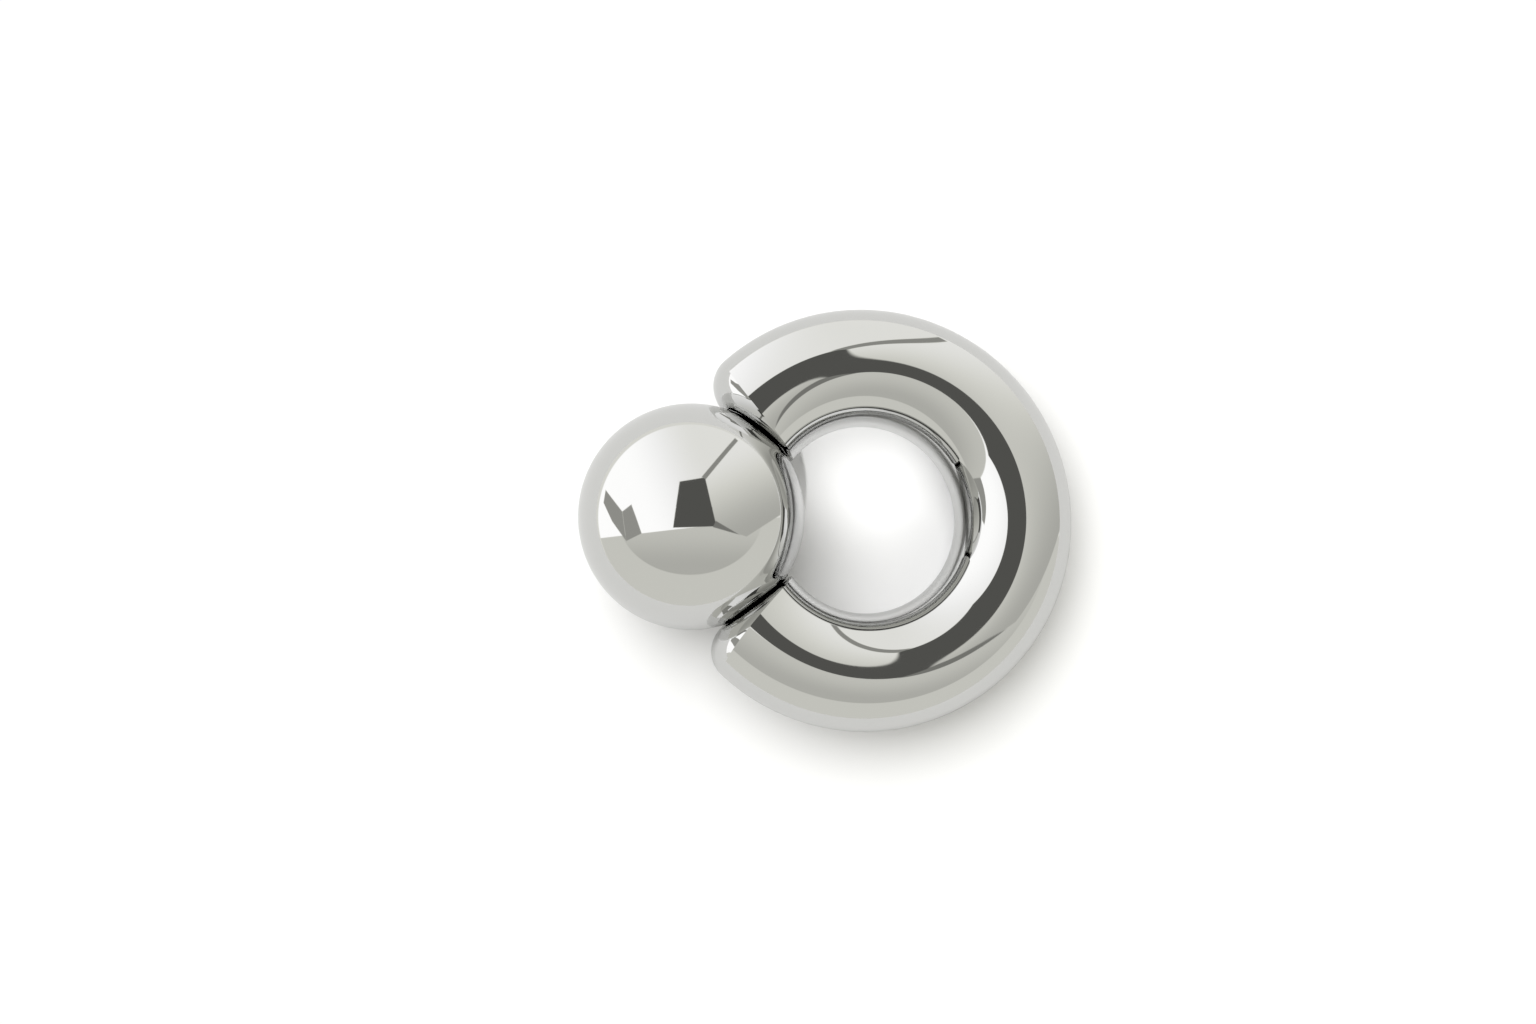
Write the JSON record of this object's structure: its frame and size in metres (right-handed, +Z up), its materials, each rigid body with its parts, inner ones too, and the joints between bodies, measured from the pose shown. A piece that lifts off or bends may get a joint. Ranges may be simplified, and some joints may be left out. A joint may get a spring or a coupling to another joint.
{
  "type": "captive ball ring",
  "caption": "Thick open metal ring whose gap is closed by a larger steel ball, held in dished seats by spring detents.",
  "frame": {"origin": "on the surface the part lies on, under the centre of its bounding box", "axes": "+Z up from the surface; +X level, from the ball towards the far side of the ring; +Y level, to the left when looking from the ball along +X. The ring leans, with its ball side raised."},
  "size_m": [0.042, 0.0358, 0.019],
  "materials": {
    "polished_steel": "mirror polished",
    "bush_steel": "turned",
    "bearing_steel": "ground and polished",
    "spring_steel": "drawn wire"
  },
  "bodies": {
    "ring": {"open_ring": "polished_steel"},
    "ball": {"closure_ball": "polished_steel", "retaining_bush_left": "bush_steel", "retaining_bush_right": "bush_steel", "detent_spring_left": "spring_steel", "detent_spring_right": "spring_steel"},
    "detent_left": {"detent_ball_left": "bearing_steel"},
    "detent_right": {"detent_ball_right": "bearing_steel"}
  },
  "joints": [
    {"name": "ball_release", "type": "slide", "parent": "ring", "child": "ball", "axis": [-0.9866, 0, 0.163], "range_m": [0, 0.025]},
    {"name": "detent_press_left", "type": "slide", "parent": "ball", "child": "detent_left", "axis": [-0.6006, -0.7934, 0.0992], "range_m": [0, 0.0011], "stiffness_N_per_m": 2000, "deforming": ["detent_spring_left"]},
    {"name": "detent_press_right", "type": "slide", "parent": "ball", "child": "detent_right", "axis": [-0.6006, 0.7934, 0.0992], "range_m": [0, 0.0011], "stiffness_N_per_m": 2000, "deforming": ["detent_spring_right"]}
  ]
}
